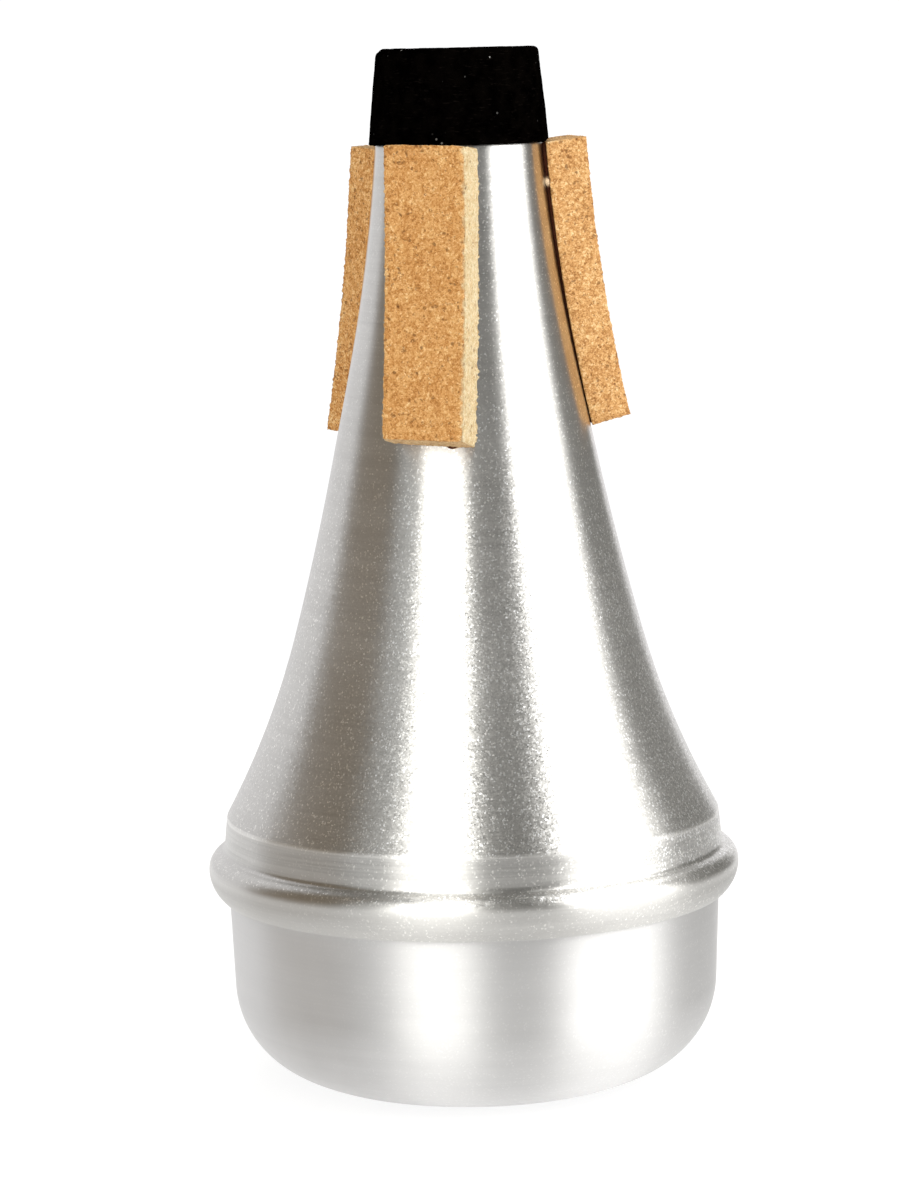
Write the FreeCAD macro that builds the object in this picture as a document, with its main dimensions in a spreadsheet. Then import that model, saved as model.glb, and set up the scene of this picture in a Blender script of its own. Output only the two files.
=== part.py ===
import FreeCAD, Part
import math
import os
import Sketcher
from FreeCAD import Placement, Rotation, Vector

# Straight mute for a trumpet, in millimetres.
# Frame: origin at the centre of the flat base, +Z up the axis to the open neck.
# The front cork pad faces -Y.  The mute is a spun sheet cone closed below by a
# spun cup whose rim is rolled into the bead of the cone, a soft sleeve over the
# open neck and three flat cork pads glued round the upper part of the cone.

os.makedirs("parts", exist_ok=True)

doc = FreeCAD.newDocument("mute")
sheet = doc.addObject("Spreadsheet::Sheet", "dims")

DIMS = [
    # whole object
    ("total_height", 170.0),
    ("wall", 0.8),
    # neck of the cone, hidden in the sleeve
    ("neck_r", 13.6),
    ("neck_root_z", 154.8),
    ("neck_top_r", 12.28),
    ("neck_top_z", 168.5),
    # flared cone: arc, straight run, arc, arc, each tangent to the one above
    ("flare_centre_r", 311.018),
    ("flare_centre_z", 176.865),
    ("flare_radius", 298.235),
    ("flare_end_z", 115.735),
    ("straight_end_z", 103.263),
    ("skirt_radius", 498.3),
    ("skirt_end_z", 74.8),
    ("bell_radius", 138.26),
    ("crease_z", 44.59),
    # shoulder band, bead and hem at the foot of the cone
    ("band_angle", 5.88),
    ("bead_root_radius", 1.1),
    ("bead_centre_r", 40.88),
    ("bead_z", 35.9),
    ("bead_radius", 3.05),
    ("bead_lower_radius", 6.0),
    ("hem_z", 31.2),
    ("hem_inner_radius", 5.735),
    # base cup
    ("cup_wall_r", 40.65),
    ("cup_draft", 2.3),
    ("corner_radius", 15.93),
    ("sole_radius", 23.05),
    ("sole_flat_r", 20.72),
    ("flange_radius", 5.635),
    ("rim_z", 36.3),
    # sealing compound over the rolled rim
    ("seal_top_z", 37.95),
    ("seal_foot_r", 42.2),
    # sleeve on the neck
    ("sleeve_foot_r", 14.726),
    ("sleeve_top_r", 13.194),
    ("sleeve_mouth_r", 11.3),
    ("sleeve_edge_radius", 0.9),
    ("sleeve_film", 0.12),
    ("film_top_z", 168.2),
    ("film_foot_z", 155.1),
    # cork pads
    ("cork_thickness", 6.2),
    ("cork_width", 13.6),
    ("cork_film", 0.15),
    ("cork_mid_z", 130.85),
    ("glue_width", 11.2),
    ("glue_trim", 0.4),
    # ends of each pad, first at its back, then at its outer face
    ("front_top_z", 154.25),
    ("front_top_edge_z", 154.8),
    ("front_foot_z", 107.2),
    ("front_foot_edge_z", 108.64),
    ("right_top_z", 154.55),
    ("right_top_edge_z", 155.3),
    ("right_foot_z", 108.2),
    ("right_foot_edge_z", 109.65),
    ("left_top_z", 153.75),
    ("left_top_edge_z", 154.2),
    ("left_foot_z", 106.45),
    ("left_foot_edge_z", 106.66),
    ("front_angle", -90.0),
    ("right_angle", 30.0),
    ("left_angle", 150.0),
    ("front_shift", 1.3),
    ("right_shift", 1.4),
    ("left_shift", -0.5),
    ("front_twist", 1.4),
    ("right_twist", 1.6),
    ("left_twist", 0.3),
]
D = {}
for i, (alias, value) in enumerate(DIMS, start=1):
    sheet.set("A%d" % i, alias.replace("_", " "))
    sheet.set("B%d" % i, repr(float(value)))
    sheet.setAlias("B%d" % i, alias)
    D[alias] = float(value)
doc.recompute()


def q(*terms):
    """Sum of sheet cells, a leading minus subtracts: (expression, value)."""
    text, total = "", 0.0
    for k, term in enumerate(terms):
        minus = term.startswith("-")
        name = term.lstrip("-")
        if k or minus:
            text += " - " if minus else " + "
        text += "dims." + name
        total += -D[name] if minus else D[name]
    return text.strip(), total


class Profile:
    """A sketch on the XZ plane of a body: sketch x is the radius, y the height."""

    def __init__(self, body, name):
        self.sk = body.newObject("Sketcher::SketchObject", name)
        plane = [f for f in body.Origin.OriginFeatures if f.Role == "XZ_Plane"][0]
        self.sk.AttachmentSupport = [(plane, "")]
        self.sk.MapMode = "FlatFace"

    def line(self, a, b):
        return self.sk.addGeometry(
            Part.LineSegment(Vector(a[0], a[1], 0), Vector(b[0], b[1], 0)), False
        )

    def arc(self, centre, radius, start, end):
        circle = Part.Circle(Vector(centre[0], centre[1], 0), Vector(0, 0, 1), radius)
        return self.sk.addGeometry(
            Part.ArcOfCircle(circle, math.radians(start), math.radians(end)), False
        )

    def rule(self, *args):
        return self.sk.addConstraint(Sketcher.Constraint(*args))

    def size(self, dim, *args):
        text, value = dim
        n = self.sk.addConstraint(Sketcher.Constraint(*(args + (value,))))
        self.sk.setExpression("Constraints[%d]" % n, text)

    def at_r(self, geo, pos, dim):
        self.size(dim, "DistanceX", -1, 1, geo, pos)

    def at_z(self, geo, pos, dim):
        self.size(dim, "DistanceY", -1, 1, geo, pos)

    def radius(self, geo, dim):
        self.size(dim, "Radius", geo)

    def join(self, a, pa, b, pb):
        self.rule("Coincident", a, pa, b, pb)

    def smooth(self, a, pa, b, pb):
        self.rule("Tangent", a, pa, b, pb)


def revolve(body, profile, name):
    rev = body.newObject("PartDesign::Revolution", name)
    rev.Profile = profile.sk
    rev.ReferenceAxis = (profile.sk, ["V_Axis"])
    rev.Angle = 360.0
    profile.sk.Visibility = False
    return rev


def deg(y, x):
    return math.degrees(math.atan2(y, x))


def cone_chain(pr, inset):
    """The tangent run from the neck root to the bead crest.

    inset is 0 for the outer face, and 1 for the inner face, which lies one wall
    nearer the axis at the same height.
    """
    w = D["wall"] * inset
    minus = ("-wall",) if inset else ()
    c1r, c1z, r1 = D["flare_centre_r"] - w, D["flare_centre_z"], D["flare_radius"]
    z0, z1, z2 = D["neck_root_z"], D["flare_end_z"], D["straight_end_z"]
    z3, z4 = D["skirt_end_z"], D["crease_z"]
    a0 = math.asin((c1z - z0) / r1)
    a1 = math.asin((c1z - z1) / r1)
    g_flare = pr.arc((c1r, c1z), r1, 180 + math.degrees(a0), 180 + math.degrees(a1))
    p1 = (c1r - r1 * math.cos(a1), z1)
    p2 = (p1[0] + (z1 - z2) * math.tan(a1), z2)
    g_run = pr.line(p1, p2)
    r3 = D["skirt_radius"]
    c3 = (p2[0] + r3 * math.cos(a1), p2[1] + r3 * math.sin(a1))
    a3 = math.asin((c3[1] - z3) / r3)
    g_skirt = pr.arc(c3, r3, 180 + math.degrees(a1), 180 + math.degrees(a3))
    p3 = (c3[0] - r3 * math.cos(a3), z3)
    r4 = D["bell_radius"]
    c4 = (p3[0] + r4 * math.cos(a3), p3[1] + r4 * math.sin(a3))
    a4 = math.asin((c4[1] - z4) / r4)
    g_bell = pr.arc(c4, r4, 180 + math.degrees(a3), 180 + math.degrees(a4))
    p4 = (c4[0] - r4 * math.cos(a4), z4)

    # shoulder band, then the root fillet and the upper arc of the bead
    band = math.radians(D["band_angle"])
    crest_r = D["bead_radius"] - w
    root = D["bead_root_radius"] + w
    cb = (D["bead_centre_r"], D["bead_z"])
    # fillet centre: one radius outside the band line, two radii from the crest centre
    zc = cb[1] + 3.8
    for _ in range(60):
        line_r = p4[0] + (z4 - zc) * math.tan(band)
        rc = line_r + root / math.cos(band)
        zc = cb[1] + math.sqrt((crest_r + root) ** 2 - (rc - cb[0]) ** 2)
    foot = (rc - root * math.cos(band), zc - root * math.sin(band))
    turn = deg(zc - cb[1], rc - cb[0])
    g_band = pr.line(p4, foot)
    g_root = pr.arc((rc, zc), root, 180 + D["band_angle"], 180 + turn)
    g_crest = pr.arc(cb, crest_r, 0, turn)

    pr.at_r(g_flare, 3, q("flare_centre_r", *minus))
    pr.at_z(g_flare, 3, q("flare_centre_z"))
    pr.radius(g_flare, q("flare_radius"))
    pr.at_z(g_flare, 1, q("neck_root_z"))
    pr.at_z(g_flare, 2, q("flare_end_z"))
    pr.smooth(g_flare, 2, g_run, 1)
    pr.at_z(g_run, 2, q("straight_end_z"))
    pr.smooth(g_run, 2, g_skirt, 1)
    pr.radius(g_skirt, q("skirt_radius"))
    pr.at_z(g_skirt, 2, q("skirt_end_z"))
    pr.smooth(g_skirt, 2, g_bell, 1)
    pr.radius(g_bell, q("bell_radius"))
    pr.at_z(g_bell, 2, q("crease_z"))
    pr.join(g_bell, 2, g_band, 1)
    # the band leans out by band_angle: angle from the vertical axis of the sketch
    n = pr.sk.addConstraint(
        Sketcher.Constraint("Angle", -1, g_band, math.radians(D["band_angle"] - 90.0))
    )
    pr.sk.setExpression("Constraints[%d]" % n, "dims.band_angle * 1 deg - 90 deg")
    pr.smooth(g_band, 2, g_root, 1)
    pr.radius(g_root, q("bead_root_radius", *(("wall",) if inset else ())))
    pr.smooth(g_root, 2, g_crest, 2)
    pr.at_r(g_crest, 3, q("bead_centre_r"))
    pr.at_z(g_crest, 3, q("bead_z"))
    pr.radius(g_crest, q("bead_radius", *minus))
    return g_flare, g_crest


def lower_flank(pr, g_crest, inset):
    """From the bead crest down to the hem."""
    w = D["wall"] * inset
    cell = "hem_inner_radius" if inset else "bead_lower_radius"
    rad = D[cell]
    crest = D["bead_centre_r"] + D["bead_radius"] - w
    drop = D["bead_z"] - D["hem_z"]
    start = -math.degrees(math.asin(drop / rad))
    g = pr.arc((crest - rad, D["bead_z"]), rad, start, 0)
    pr.smooth(g_crest, 1, g, 2)
    pr.at_z(g, 2, q("bead_z"))
    pr.radius(g, q(cell))
    pr.at_z(g, 1, q("hem_z"))
    end = (crest - rad + rad * math.cos(math.radians(start)), D["hem_z"])
    return g, end


# ---------------------------------------------------------------- cone shell
# Spun from one sheet: open neck, flared cone, shoulder band, bead and hem.
cone = doc.addObject("PartDesign::Body", "ConeShell")
cone.Label = "cone_shell"
pr = Profile(cone, "ConeProfile")
out_flare, out_crest = cone_chain(pr, 0)
out_flank, out_hem = lower_flank(pr, out_crest, 0)
in_flare, in_crest = cone_chain(pr, 1)
in_flank, in_hem = lower_flank(pr, in_crest, 1)
hem = pr.line(out_hem, in_hem)
pr.join(out_flank, 1, hem, 1)
pr.join(hem, 2, in_flank, 1)
w = D["wall"]
neck_out = pr.line((D["neck_top_r"], D["neck_top_z"]), (D["neck_r"], D["neck_root_z"]))
neck_in = pr.line(
    (D["neck_top_r"] - w, D["neck_top_z"]), (D["neck_r"] - w, D["neck_root_z"])
)
neck_lip = pr.line(
    (D["neck_top_r"], D["neck_top_z"]), (D["neck_top_r"] - w, D["neck_top_z"])
)
pr.join(neck_out, 2, out_flare, 1)
pr.join(neck_in, 2, in_flare, 1)
pr.join(neck_out, 1, neck_lip, 1)
pr.join(neck_in, 1, neck_lip, 2)
pr.at_r(neck_lip, 1, q("neck_top_r"))
pr.at_z(neck_lip, 1, q("neck_top_z"))
pr.at_r(neck_lip, 2, q("neck_top_r", "-wall"))
pr.rule("Horizontal", neck_lip)
revolve(cone, pr, "ConeSpin")

# ------------------------------------------------------------------ base cup
# Spun cup: flat sole, two-arc corner, slightly drafted wall, and a rim curled
# out into the bead of the cone so that the rolled hem locks it.
cup = doc.addObject("PartDesign::Body", "BaseCup")
cup.Label = "base_cup"
pr = Profile(cup, "CupProfile")
ra, rb, rs = D["corner_radius"], D["sole_radius"], D["sole_flat_r"]
draft = math.radians(D["cup_draft"])
fl_c = (D["bead_centre_r"] + D["bead_radius"] - w - D["hem_inner_radius"], D["bead_z"])
# the corner arc centre: tangent inside the sole arc and tangent to the wall line
wall_n = (math.cos(draft), -math.sin(draft))
k = wall_n[0] * D["cup_wall_r"] + wall_n[1] * D["hem_z"]
phi = math.radians(61.5)
for _ in range(200):
    # wall tangency fixes the angle at which the two arcs meet
    car, caz = rs + (rb - ra) * math.cos(phi), rb - (rb - ra) * math.sin(phi)
    err = wall_n[0] * car + wall_n[1] * caz + ra - k
    slope = -(rb - ra) * (math.sin(phi) * wall_n[0] + math.cos(phi) * wall_n[1])
    phi -= err / slope
car, caz = rs + (rb - ra) * math.cos(phi), rb - (rb - ra) * math.sin(phi)
join_deg = math.degrees(phi)


def cup_side(pr, w, minus):
    """Wall, corner and sole of the cup, offset inward by w."""
    a, b = ra - w, rb - w
    fr = D["flange_radius"] - w
    # where the drafted wall meets the flange arc
    zt = 31.4
    for _ in range(80):
        wr = (k - w - wall_n[1] * zt) / wall_n[0]
        zt = fl_c[1] - math.sqrt(fr**2 - (wr - fl_c[0]) ** 2)
    wr = (k - w - wall_n[1] * zt) / wall_n[0]
    g_flange = pr.arc(
        fl_c,
        fr,
        deg(zt - fl_c[1], wr - fl_c[0]),
        math.degrees(math.asin((D["rim_z"] - fl_c[1]) / fr)),
    )
    tang = (car + a * wall_n[0], caz + a * wall_n[1])
    g_wall = pr.line((wr, zt), tang)
    g_corner = pr.arc((car, caz), a, -join_deg, -D["cup_draft"])
    g_sole = pr.arc((rs, rb), b, -90, -join_deg)
    g_floor = pr.line((rs, rb - b), (0, rb - b))
    pr.radius(g_flange, q("flange_radius", *minus))
    pr.at_r(g_flange, 3, q("bead_centre_r", "bead_radius", "-wall", "-hem_inner_radius"))
    pr.at_z(g_flange, 3, q("bead_z"))
    pr.at_z(g_flange, 2, q("rim_z"))
    pr.join(g_flange, 1, g_wall, 1)
    pr.smooth(g_wall, 2, g_corner, 2)
    pr.radius(g_corner, q("corner_radius", *minus))
    pr.smooth(g_corner, 1, g_sole, 2)
    pr.radius(g_sole, q("sole_radius", *minus))
    pr.at_r(g_sole, 3, q("sole_flat_r"))
    pr.smooth(g_sole, 1, g_floor, 1)
    pr.rule("PointOnObject", g_floor, 2, -2)
    pr.rule("Horizontal", g_floor)
    return g_flange, g_wall, g_corner, g_sole, g_floor


o = cup_side(pr, 0.0, ())
n = cup_side(pr, w, ("-wall",))
# the sole stands on the origin plane; the inner floor is one wall above it
pr.rule("PointOnObject", o[4], 2, -1)
pr.at_z(n[4], 2, q("wall"))
# the wall leans by the draft; its line passes cup_wall_r at the height of the hem
ac = pr.sk.addConstraint(
    Sketcher.Constraint("Angle", -1, o[1], math.radians(-90.0 - D["cup_draft"]))
)
pr.sk.setExpression("Constraints[%d]" % ac, "-90 deg - dims.cup_draft * 1 deg")
mark = pr.sk.addGeometry(Part.Point(Vector(D["cup_wall_r"], D["hem_z"], 0)), True)
pr.at_r(mark, 1, q("cup_wall_r"))
pr.at_z(mark, 1, q("hem_z"))
pr.rule("PointOnObject", mark, 1, o[1])
pr.rule("Parallel", o[1], n[1])
pr.rule("Vertical", o[2], 3, n[2], 3)
rim = pr.line(
    (fl_c[0] + D["flange_radius"], D["rim_z"]), (fl_c[0] + D["flange_radius"] - w, D["rim_z"])
)
pr.join(rim, 1, o[0], 2)
pr.join(rim, 2, n[0], 2)
stem = pr.line((0, 0), (0, w))
pr.join(stem, 1, o[4], 2)
pr.join(stem, 2, n[4], 2)
revolve(cup, pr, "CupSpin")

# ------------------------------------------------------------- seam sealant
# Ring of compound in the hollow of the bead, over the curled rim of the cup.
seal = doc.addObject("PartDesign::Body", "SeamSealant")
seal.Label = "seam_sealant"
pr = Profile(seal, "SealProfile")
sr = D["bead_radius"] - w
cb = (D["bead_centre_r"], D["bead_z"])
up = math.degrees(math.asin((D["seal_top_z"] - cb[1]) / sr))
low = math.degrees(math.asin((D["rim_z"] - cb[1]) / sr))
g_out = pr.arc(cb, sr, low, up)
p_up = (cb[0] + sr * math.cos(math.radians(up)), D["seal_top_z"])
p_low = (cb[0] + sr * math.cos(math.radians(low)), D["rim_z"])
g_in = pr.line(p_up, (D["seal_foot_r"], D["rim_z"]))
g_foot = pr.line((D["seal_foot_r"], D["rim_z"]), p_low)
pr.at_r(g_out, 3, q("bead_centre_r"))
pr.at_z(g_out, 3, q("bead_z"))
pr.radius(g_out, q("bead_radius", "-wall"))
pr.at_z(g_out, 1, q("rim_z"))
pr.at_z(g_out, 2, q("seal_top_z"))
pr.join(g_out, 2, g_in, 1)
pr.join(g_in, 2, g_foot, 1)
pr.join(g_foot, 2, g_out, 1)
pr.rule("Horizontal", g_foot)
pr.at_r(g_foot, 1, q("seal_foot_r"))
revolve(seal, pr, "SealSpin")

# --------------------------------------------------------------- neck sleeve
# Soft sleeve pushed over the neck, with a lip that covers the end of the metal.
sleeve = doc.addObject("PartDesign::Body", "NeckSleeve")
sleeve.Label = "neck_sleeve"
pr = Profile(sleeve, "SleeveProfile")
f = D["sleeve_film"]
pts = [
    (D["sleeve_foot_r"], D["neck_root_z"]),
    (D["sleeve_top_r"], D["total_height"]),
    (D["sleeve_mouth_r"], D["total_height"]),
    (D["sleeve_mouth_r"], D["neck_top_z"]),
    (D["neck_top_r"] + f, D["neck_top_z"]),
    (D["neck_r"] + f, D["neck_root_z"]),
]
cells = [
    (q("sleeve_foot_r"), q("neck_root_z")),
    (q("sleeve_top_r"), q("total_height")),
    (q("sleeve_mouth_r"), q("total_height")),
    (q("sleeve_mouth_r"), q("neck_top_z")),
    (q("neck_top_r", "sleeve_film"), q("neck_top_z")),
    (q("neck_r", "sleeve_film"), q("neck_root_z")),
]
ids = [pr.line(pts[i], pts[(i + 1) % 6]) for i in range(6)]
for i in range(6):
    pr.join(ids[i], 2, ids[(i + 1) % 6], 1)
for i in range(6):
    pr.at_r(ids[i], 1, cells[i][0])
    pr.at_z(ids[i], 1, cells[i][1])
rev = revolve(sleeve, pr, "SleeveSpin")
doc.recompute()


def edge_at(shape, r, z):
    """Name of the circular edge of the given radius and height."""
    for i, e in enumerate(shape.Edges, start=1):
        c = getattr(e, "Curve", None)
        if c is not None and hasattr(c, "Radius"):
            if abs(c.Radius - r) < 1e-4 and abs(c.Center.z - z) < 1e-4:
                return "Edge%d" % i
    raise ValueError("no circular edge at r %s, z %s" % (r, z))


rounded = sleeve.newObject("PartDesign::Fillet", "SleeveEdge")
rounded.Base = (rev, [edge_at(rev.Shape, D["sleeve_top_r"], D["total_height"])])
rounded.setExpression("Radius", "dims.sleeve_edge_radius")

# ----------------------------------------------------------- sleeve adhesive
# Film between the neck and the sleeve, which would slide off the taper without it.
film = doc.addObject("PartDesign::Body", "SleeveAdhesive")
film.Label = "sleeve_adhesive"
pr = Profile(film, "FilmProfile")
taper = (D["neck_top_r"] - D["neck_r"]) / (D["neck_top_z"] - D["neck_root_z"])


def neck_at(z):
    return D["neck_r"] + taper * (z - D["neck_root_z"])


def neck_expr(cell, extra):
    return (
        "dims.neck_r + (dims.neck_top_r - dims.neck_r) * (dims.%s - dims.neck_root_z)"
        " / (dims.neck_top_z - dims.neck_root_z)%s" % (cell, extra)
    )


zf, zt = D["film_foot_z"], D["film_top_z"]
pts = [(neck_at(zf), zf), (neck_at(zf) + f, zf), (neck_at(zt) + f, zt), (neck_at(zt), zt)]
cells = [
    (neck_expr("film_foot_z", ""), "film_foot_z"),
    (neck_expr("film_foot_z", " + dims.sleeve_film"), "film_foot_z"),
    (neck_expr("film_top_z", " + dims.sleeve_film"), "film_top_z"),
    (neck_expr("film_top_z", ""), "film_top_z"),
]
ids = [pr.line(pts[i], pts[(i + 1) % 4]) for i in range(4)]
for i in range(4):
    pr.join(ids[i], 2, ids[(i + 1) % 4], 1)
for i in range(4):
    pr.at_r(ids[i], 1, (cells[i][0], pts[i][0]))
    pr.at_z(ids[i], 1, q(cells[i][1]))
revolve(film, pr, "FilmSpin")

# ------------------------------------------------- cone envelope, for cutting
# The solid inside the outer face of the cone over the height of the cork pads.
plug = doc.addObject("PartDesign::Body", "ConeEnvelope")
plug.Label = "cone_envelope"
pr = Profile(plug, "EnvelopeProfile")
c1 = (D["flare_centre_r"], D["flare_centre_z"])
r1 = D["flare_radius"]
a0 = math.asin((c1[1] - D["neck_root_z"]) / r1)
a1 = math.asin((c1[1] - D["flare_end_z"]) / r1)
p0 = (c1[0] - r1 * math.cos(a0), D["neck_root_z"])
p1 = (c1[0] - r1 * math.cos(a1), D["flare_end_z"])
p2 = (p1[0] + (D["flare_end_z"] - D["straight_end_z"]) * math.tan(a1), D["straight_end_z"])
g_a = pr.arc(c1, r1, 180 + math.degrees(a0), 180 + math.degrees(a1))
g_b = pr.line(p1, p2)
g_c = pr.line(p2, (0, p2[1]))
g_d = pr.line((0, p2[1]), (0, p0[1]))
g_e = pr.line((0, p0[1]), p0)
pr.at_r(g_a, 3, q("flare_centre_r"))
pr.at_z(g_a, 3, q("flare_centre_z"))
pr.radius(g_a, q("flare_radius"))
pr.at_z(g_a, 1, q("neck_root_z"))
pr.at_z(g_a, 2, q("flare_end_z"))
pr.smooth(g_a, 2, g_b, 1)
pr.at_z(g_b, 2, q("straight_end_z"))
pr.join(g_b, 2, g_c, 1)
pr.join(g_c, 2, g_d, 1)
pr.join(g_d, 2, g_e, 1)
pr.join(g_e, 2, g_a, 1)
pr.rule("Horizontal", g_c)
pr.rule("Horizontal", g_e)
pr.rule("PointOnObject", g_d, 1, -2)
pr.rule("PointOnObject", g_d, 2, -2)
revolve(plug, pr, "EnvelopeSpin")


# ------------------------------------------------------- cork pads and glue
def sector(body, name, near, far, near_value, far_value, top, foot, edges=None):
    """Strip between two arcs about the flare's centre.

    near and far are the distances of the two faces from the cone's surface.  top and
    foot are the heights of the ends of the near face.  edges gives the heights of the
    ends of the far face; without it both ends are cut square.
    """
    pr = Profile(body, name)
    cr, cz = D["flare_centre_r"], D["flare_centre_z"]
    rn, rf = D["flare_radius"] - near_value, D["flare_radius"] - far_value
    at, ab = math.asin((cz - top[1]) / rn), math.asin((cz - foot[1]) / rn)
    ft, fb = at, ab
    if edges:
        ft = math.asin((cz - edges[0][1]) / rf)
        fb = math.asin((cz - edges[1][1]) / rf)

    def pt(rad, a):
        return (cr - rad * math.cos(a), cz - rad * math.sin(a))

    g_near = pr.arc((cr, cz), rn, 180 + math.degrees(at), 180 + math.degrees(ab))
    g_far = pr.arc((cr, cz), rf, 180 + math.degrees(ft), 180 + math.degrees(fb))
    g_top = pr.line(pt(rn, at), pt(rf, ft))
    g_foot = pr.line(pt(rn, ab), pt(rf, fb))
    pr.at_r(g_near, 3, q("flare_centre_r"))
    pr.at_z(g_near, 3, q("flare_centre_z"))
    pr.join(g_near, 3, g_far, 3)
    pr.size(("dims.flare_radius - (%s)" % near, rn), "Radius", g_near)
    pr.size(("dims.flare_radius - (%s)" % far, rf), "Radius", g_far)
    pr.at_z(g_near, 1, top)
    pr.at_z(g_near, 2, foot)
    pr.join(g_top, 1, g_near, 1)
    pr.join(g_foot, 1, g_near, 2)
    pr.join(g_top, 2, g_far, 1)
    pr.join(g_foot, 2, g_far, 2)
    if edges:
        pr.at_z(g_far, 1, edges[0])
        pr.at_z(g_far, 2, edges[1])
    else:
        pr.rule("PointOnObject", g_near, 3, g_top)
        pr.rule("PointOnObject", g_near, 3, g_foot)
    return pr


def strip(body, pr, name, cell):
    pad = body.newObject("PartDesign::Pad", name)
    pad.Profile = pr.sk
    pad.SideType = "Symmetric"
    pad.Length = D[cell]
    pad.setExpression("Length", "dims." + cell)
    pr.sk.Visibility = False
    return pad


def seat(side):
    """Placement of a pad: turned about the axis, slid sideways, and twisted a
    little about its own normal at mid height."""
    mid = D["cork_mid_z"]
    turn = Placement(Vector(0, 0, 0), Rotation(Vector(0, 0, 1), D[side + "_angle"]))
    slide = Placement(
        Vector(0, D[side + "_shift"], mid), Rotation(Vector(1, 0, 0), D[side + "_twist"])
    )
    return turn * slide * Placement(Vector(0, 0, -mid), Rotation())


parts = [cone, cup, seal, sleeve, film]
for side in ("front", "right", "left"):
    # flat across, bent lengthwise to the flare, each end cut by hand
    cork = doc.addObject("PartDesign::Body", "Cork" + side.capitalize())
    cork.Label = "cork_pad_" + side
    pr = sector(
        cork, "CorkProfile" + side.capitalize(),
        "dims.cork_film", "dims.cork_film + dims.cork_thickness",
        D["cork_film"], D["cork_film"] + D["cork_thickness"],
        q(side + "_top_z"), q(side + "_foot_z"),
        (q(side + "_top_edge_z"), q(side + "_foot_edge_z")),
    )
    strip(cork, pr, "CorkStrip" + side.capitalize(), "cork_width")
    cork.Placement = seat(side)
    parts.append(cork)

    # glue: what lies between the flat back of the cork and the round cone
    slab = doc.addObject("PartDesign::Body", "GlueSlab" + side.capitalize())
    slab.Label = "glue_slab_" + side
    pr = sector(
        slab, "GlueProfile" + side.capitalize(),
        "dims.cork_film - dims.wall * 4", "dims.cork_film",
        D["cork_film"] - D["wall"] * 4, D["cork_film"],
        q(side + "_top_z", "-glue_trim"), q(side + "_foot_z"),
    )
    strip(slab, pr, "GlueStrip" + side.capitalize(), "glue_width")
    slab.Placement = seat(side)
    glue = doc.addObject("Part::Cut", "CorkGlue" + side.capitalize())
    glue.Base = slab
    glue.Tool = plug
    glue.Label = "cork_glue_" + side
    parts.append(glue)

doc.recompute()

# ------------------------------------------------------------------- checks
for obj in doc.Objects:
    bad = [s for s in obj.State if s in ("Invalid", "Error")]
    if bad:
        raise RuntimeError("%s is %s" % (obj.Name, bad))
for sk in [x for x in doc.Objects if x.TypeId == "Sketcher::SketchObject"]:
    left = sk.solve()
    if left != 0:
        raise RuntimeError("sketch %s does not solve: %s" % (sk.Name, left))
    if not sk.FullyConstrained:
        print("note: sketch %s is not fully constrained" % sk.Name)

for p in parts:
    shape = p.Shape
    if shape.isNull() or not shape.isValid():
        raise RuntimeError("%s has no valid shape" % p.Label)
    if len(shape.Solids) != 1:
        raise RuntimeError("%s holds %d solids" % (p.Label, len(shape.Solids)))
    b = shape.BoundBox
    print(
        "%-16s %9.1f mm3  x %7.2f %7.2f  y %7.2f %7.2f  z %7.2f %7.2f"
        % (p.Label, shape.Volume, b.XMin, b.XMax, b.YMin, b.YMax, b.ZMin, b.ZMax)
    )
glue_solid = [p for p in parts if p.Label == "cork_glue_front"][0]
full_slab = [x for x in doc.Objects if x.Label == "glue_slab_front"][0]
if not glue_solid.Shape.Volume < 0.7 * full_slab.Shape.Volume:
    raise RuntimeError("the cone was not cut out of the glue")

for p in parts:
    p.Shape.exportStep("parts/%s.step" % p.Label)
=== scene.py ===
"""Looks of the trumpet straight mute: spun metal, cork and foam in the CAD frame, in metres.

Shapes are worked out in millimetres and written in metres. Heights are along +Z, the
front cork pad is on -Y.
"""

import itertools
import math

import bpy
import numpy as np
from mathutils import Matrix, Vector


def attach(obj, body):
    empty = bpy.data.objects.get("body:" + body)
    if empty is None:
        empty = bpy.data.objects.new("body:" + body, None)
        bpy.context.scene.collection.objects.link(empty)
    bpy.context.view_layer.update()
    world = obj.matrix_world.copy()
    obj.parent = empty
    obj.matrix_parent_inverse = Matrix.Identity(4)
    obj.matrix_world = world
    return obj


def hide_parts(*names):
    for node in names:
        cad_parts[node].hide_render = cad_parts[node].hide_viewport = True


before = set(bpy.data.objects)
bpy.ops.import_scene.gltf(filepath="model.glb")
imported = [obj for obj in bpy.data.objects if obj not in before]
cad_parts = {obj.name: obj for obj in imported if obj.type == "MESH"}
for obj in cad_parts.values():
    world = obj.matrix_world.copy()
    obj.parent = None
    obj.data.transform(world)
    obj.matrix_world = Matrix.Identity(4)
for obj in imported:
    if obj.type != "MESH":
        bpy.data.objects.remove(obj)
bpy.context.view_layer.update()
scene = bpy.context.scene

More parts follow.
